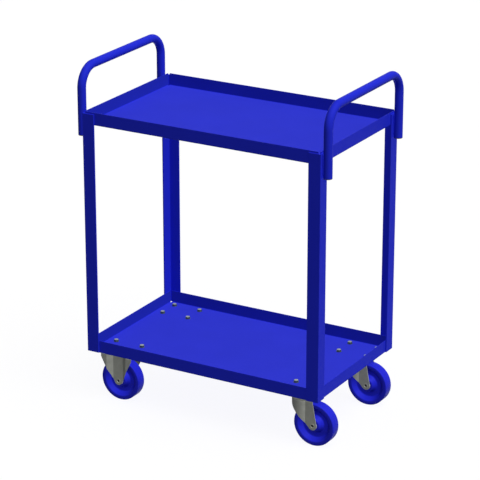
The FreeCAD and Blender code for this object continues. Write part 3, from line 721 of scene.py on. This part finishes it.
# %% Helpers for sets
def solids_of(node):
    """The middle and the size of every separate solid in a node."""
    bm = merged_copy(node)
    waiting = set(bm.verts)
    boxes = []
    while waiting:
        reached = [waiting.pop()]
        for vert in reached:
            for edge in vert.link_edges:
                other = edge.other_vert(vert)
                if other in waiting:
                    waiting.remove(other)
                    reached.append(other)
        low = Vector([min(vert.co[axis] for vert in reached) for axis in range(3)])
        high = Vector([max(vert.co[axis] for vert in reached) for axis in range(3)])
        boxes.append(((low + high) / 2, high - low))
    bm.free()
    return sorted(boxes, key=lambda box: tuple(box[0]))


def repeated(pattern, spots):
    """Copies of one small bmesh, each moved to its spot, in a single bmesh."""
    mesh = bpy.data.meshes.new("pattern")
    pattern.to_mesh(mesh)
    pattern.free()
    whole = bmesh.new()
    for spot in spots:
        before = len(whole.verts)
        whole.from_mesh(mesh)
        whole.verts.ensure_lookup_table()
        bmesh.ops.translate(whole, verts=whole.verts[before:], vec=spot)
    bpy.data.meshes.remove(mesh)
    return whole


# %% Thrust washers
THRUST_WALL = 7 * MM
WASHER_EDGE = 0.3 * MM
for kind in ("fixed", "swivel"):
    for end in ENDS:
        node = f"{kind}_thrust_washers_{end}"
        solids = solids_of(node)
        size = solids[0][1]
        bore = size.z / 2 - THRUST_WALL
        half = [(bore, size.y / 2), (size.z / 2, size.y / 2)]
        ring = turned(both_ways(half), (0, 0, 0), "Y", WASHER_EDGE, steps=64)
        dress(node, repeated(ring, [centre for centre, size in solids]))

# %% [markdown]
# ## Hexagon bolts and lock nuts
#
# A hexagon head is turned before it is cut, which leaves a round chamfer that dips over each corner. That
# curve is what makes it look like a bolt. Here it comes from a lathe whose section changes with the angle:
# the distance to a flat side grows towards each corner, and the chamfer falls by the same slope all
# round. Lock nuts add a smooth collar that holds the nylon ring, and the heads' tops get their own paler
# finish, a painted highlight.

# %% A helper for hexagons
def hexagon_reach(angle, flats):
    """How far a hexagon reaches at an angle from one of its corners."""
    return flats / 2 / math.cos(angle % (math.pi / 3) - math.pi / 6)


def lathe(section_at, steps=48):
    """A solid from a section that changes with the angle, about the Z axis."""
    bm = bmesh.new()
    columns = []
    for step in range(steps):
        angle = 2 * math.pi * step / steps
        across, over = math.cos(angle), math.sin(angle)
        columns.append([bm.verts.new((r * across, r * over, z)) for r, z in section_at(angle)])
    for here, there in zip(columns, columns[1:] + columns[:1]):
        for level in range(len(here) - 1):
            bm.faces.new((here[level], there[level], there[level + 1], here[level + 1]))
    bmesh.ops.remove_doubles(bm, verts=bm.verts, dist=WELD)
    bmesh.ops.recalc_face_normals(bm, faces=bm.faces)
    return bm


# %% Bolts and nuts
CHAMFER = math.tan(math.radians(30))
FLATS = 13 * MM
CROWN = 6 * MM
HEAD_HEIGHT = 5.3 * MM
SHANK = 4 * MM
EDGE = 0.3 * MM
NUT_COLLAR = 5.7 * MM
NUT_BORE = 4.05 * MM
NUT_HEX_HEIGHT = 4.9 * MM


def bolt_section(angle):
    """Half a bolt, from the middle of its head down to the middle of its point."""
    reach = hexagon_reach(angle, FLATS)
    return [
        (0, BOLT_TOP),
        (CROWN, BOLT_TOP),
        (reach - EDGE, BOLT_TOP - (reach - EDGE - CROWN) * CHAMFER),
        (reach, BOLT_TOP - (reach - CROWN) * CHAMFER - EDGE),
        (reach, BOLT_TOP - HEAD_HEIGHT),
        (SHANK, BOLT_TOP - HEAD_HEIGHT),
        (SHANK, SHANK / 4 - BOLT_TOP),
        (SHANK * 3 / 4, -BOLT_TOP),
        (0, -BOLT_TOP),
    ]


def nut_section(angle):
    """One side of a nut, from its bore over the hexagon and the collar and back."""
    reach = hexagon_reach(angle, FLATS)
    return [
        (NUT_BORE, NUT_TOP),
        (CROWN, NUT_TOP),
        (reach, NUT_TOP - (reach - CROWN) * CHAMFER),
        (reach, NUT_TOP - NUT_HEX_HEIGHT + (reach - NUT_COLLAR) * CHAMFER),
        (NUT_COLLAR, NUT_TOP - NUT_HEX_HEIGHT),
        (NUT_COLLAR, 2 * EDGE - NUT_TOP),
        (NUT_COLLAR - 2 * EDGE, -NUT_TOP),
        (NUT_BORE, -NUT_TOP),
        (NUT_BORE, NUT_TOP),
    ]


bolts = solids_of("caster_bolts")
BOLT_TOP = bolts[0][1].z / 2
BOLT_MIDDLE = bolts[0][0].z
heads = dress("caster_bolts", repeated(lathe(bolt_section), [centre for centre, size in bolts]), 25)
# The flat tops of the heads get a painted highlight.
refinish(heads, PAINTED_HIGHLIGHT_ZINC, lambda face: face.normal.z > LOOKS_UP and face.center.z > BOLT_MIDDLE)
nuts = solids_of("caster_nuts")
NUT_TOP = nuts[0][1].z / 2
dress("caster_nuts", repeated(lathe(nut_section), [centre for centre, size in nuts]), 25)

# %% Flat washers
WASHER_BORE = 4.2 * MM
washers = solids_of("caster_washers")
size = washers[0][1]
half = [(WASHER_BORE, size.z / 2), (size.x / 2, size.z / 2)]
ring = turned(both_ways(half), (0, 0, 0), "Z", WASHER_EDGE, steps=48)
dress("caster_washers", repeated(ring, [centre for centre, size in washers]))

# %% [markdown]
# ## Push handles
#
# Each handle is one tube, bent twice. It is built from rings of points along its centre line: one ring at
# each foot, and one every few degrees round the two bends. Each ring has an outer and an inner circle, so
# the tube has its real wall. Its width, height and foot are measured on the construction.

# %% Handles
TUBE_WALL = 1.6 * MM
TUBE_BEND = 60 * MM
BEND_STEPS = 24
TUBE_SIDES = 64


def bent_line(half_width, foot, top):
    """(Y, Z) points of a handle's centre line, each with the direction in which it runs on."""
    line = [((-half_width, foot), (0, 1))]
    for side in (-1, 1):
        middle = side * (half_width - TUBE_BEND), top - TUBE_BEND
        for step in range(BEND_STEPS + 1):
            turn = math.pi / 2 * (step / BEND_STEPS + (0 if side < 0 else 1))
            out_y, out_z = -math.cos(turn), math.sin(turn)
            spot = (middle[0] + TUBE_BEND * out_y, middle[1] + TUBE_BEND * out_z)
            line.append((spot, (out_z, -out_y)))
    line.append(((half_width, foot), (0, -1)))
    return line


def tube(x, line, outer):
    """A closed tube wall of a given outer radius along a line in the plane at x."""
    bm = bmesh.new()
    rings = []
    for (y, z), (run_y, run_z) in line:
        centre, inwards = Vector((x, y, z)), Vector((0, run_z, -run_y))
        for reach in (outer, outer - TUBE_WALL):
            ring = []
            for side in range(TUBE_SIDES):
                angle = 2 * math.pi * side / TUBE_SIDES
                across = Vector((math.cos(angle), 0, 0)) + math.sin(angle) * inwards
                ring.append(bm.verts.new(centre + reach * across))
            rings.append(ring)
    outside, inside = rings[0::2], rings[1::2]
    loop = outside + inside[::-1]
    for here, there in zip(loop, loop[1:] + loop[:1]):
        for side in range(TUBE_SIDES):
            after = (side + 1) % TUBE_SIDES
            bm.faces.new((here[side], here[after], there[after], there[side]))
    bmesh.ops.recalc_face_normals(bm, faces=bm.faces)
    return bm


for side in SIDES:
    node = f"handle_{side}"
    centre, size = box_of(node)
    radius = size.x / 2
    foot, top = centre.z - size.z / 2, centre.z + size.z / 2 - radius
    dress(node, tube(centre.x, bent_line(size.y / 2 - radius, foot, top), radius))

# %% [markdown]
# ## Plugs and welds
#
# A black plug with a rounded head closes each foot of the tubes. Each foot is welded to its leg on both
# sides, and a weld laid by hand is a row of overlapping drops. So each bead is turned about its own
# length, with a radius that swells and dips once per drop and fades at both ends.

# %% End plugs
PLUG_HEAD = 2 * MM
PLUG_STEM = 11 * MM
PLUG_EDGE = 0.9 * MM
plugs = solids_of("handle_end_plugs")
size = plugs[0][1]
bottom = -size.z / 2
section = [
    (0, bottom),
    (size.x / 2, bottom),
    (size.x / 2, bottom + PLUG_HEAD),
    (PLUG_STEM, bottom + PLUG_HEAD),
    (PLUG_STEM, -bottom),
    (0, -bottom),
]
plug = turned(section, (0, 0, 0), "Z", PLUG_EDGE, steps=64, rounds=4)
dress("handle_end_plugs", repeated(plug, [centre for centre, size in plugs]))

# %% Weld beads
BEAD_RADIUS = 2.7 * MM
DROP_DEPTH = 0.3 * MM
DROPS = 20
POINTS_PER_DROP = 6
BEAD_FADE = 4 * MM
BEAD_INSET = 0.7 * MM
beads = solids_of("handle_weld_beads")
length = beads[0][1].z
points = DROPS * POINTS_PER_DROP
section = [(0, -length / 2)]
for index in range(1, points):
    place = length * index / points
    from_end = min(place, length - place)
    swell = math.sin(math.pi * index / POINTS_PER_DROP) ** 2
    fade = math.sqrt(1 - max(0.0, 1 - from_end / BEAD_FADE) ** 2)
    section.append((fade * (BEAD_RADIUS - DROP_DEPTH * swell), place - length / 2))
section.append((0, length / 2))
bead = turned(section, (0, 0, 0), "Z", steps=20)
spots = []
for centre, size in beads:
    inwards = -BEAD_INSET if centre.x > 0 else BEAD_INSET
    spots.append(centre + Vector((inwards, 0, 0)))
dress("handle_weld_beads", repeated(bead, spots), 60)

# %% [markdown]
# ## Dust rings
#
# The rubber-like ring round each swivel head hides the balls. It is a plain ring with round edges.

# %% Dust rings
RING_WALL = 2.4 * MM
RING_EDGE = 0.6 * MM
for end in ENDS:
    node = f"swivel_seal_{end}"
    centre, size = box_of(node)
    half = [(size.x / 2 - RING_WALL, size.z / 2), (size.x / 2, size.z / 2)]
    dress(node, turned(both_ways(half), centre, "Z", RING_EDGE))
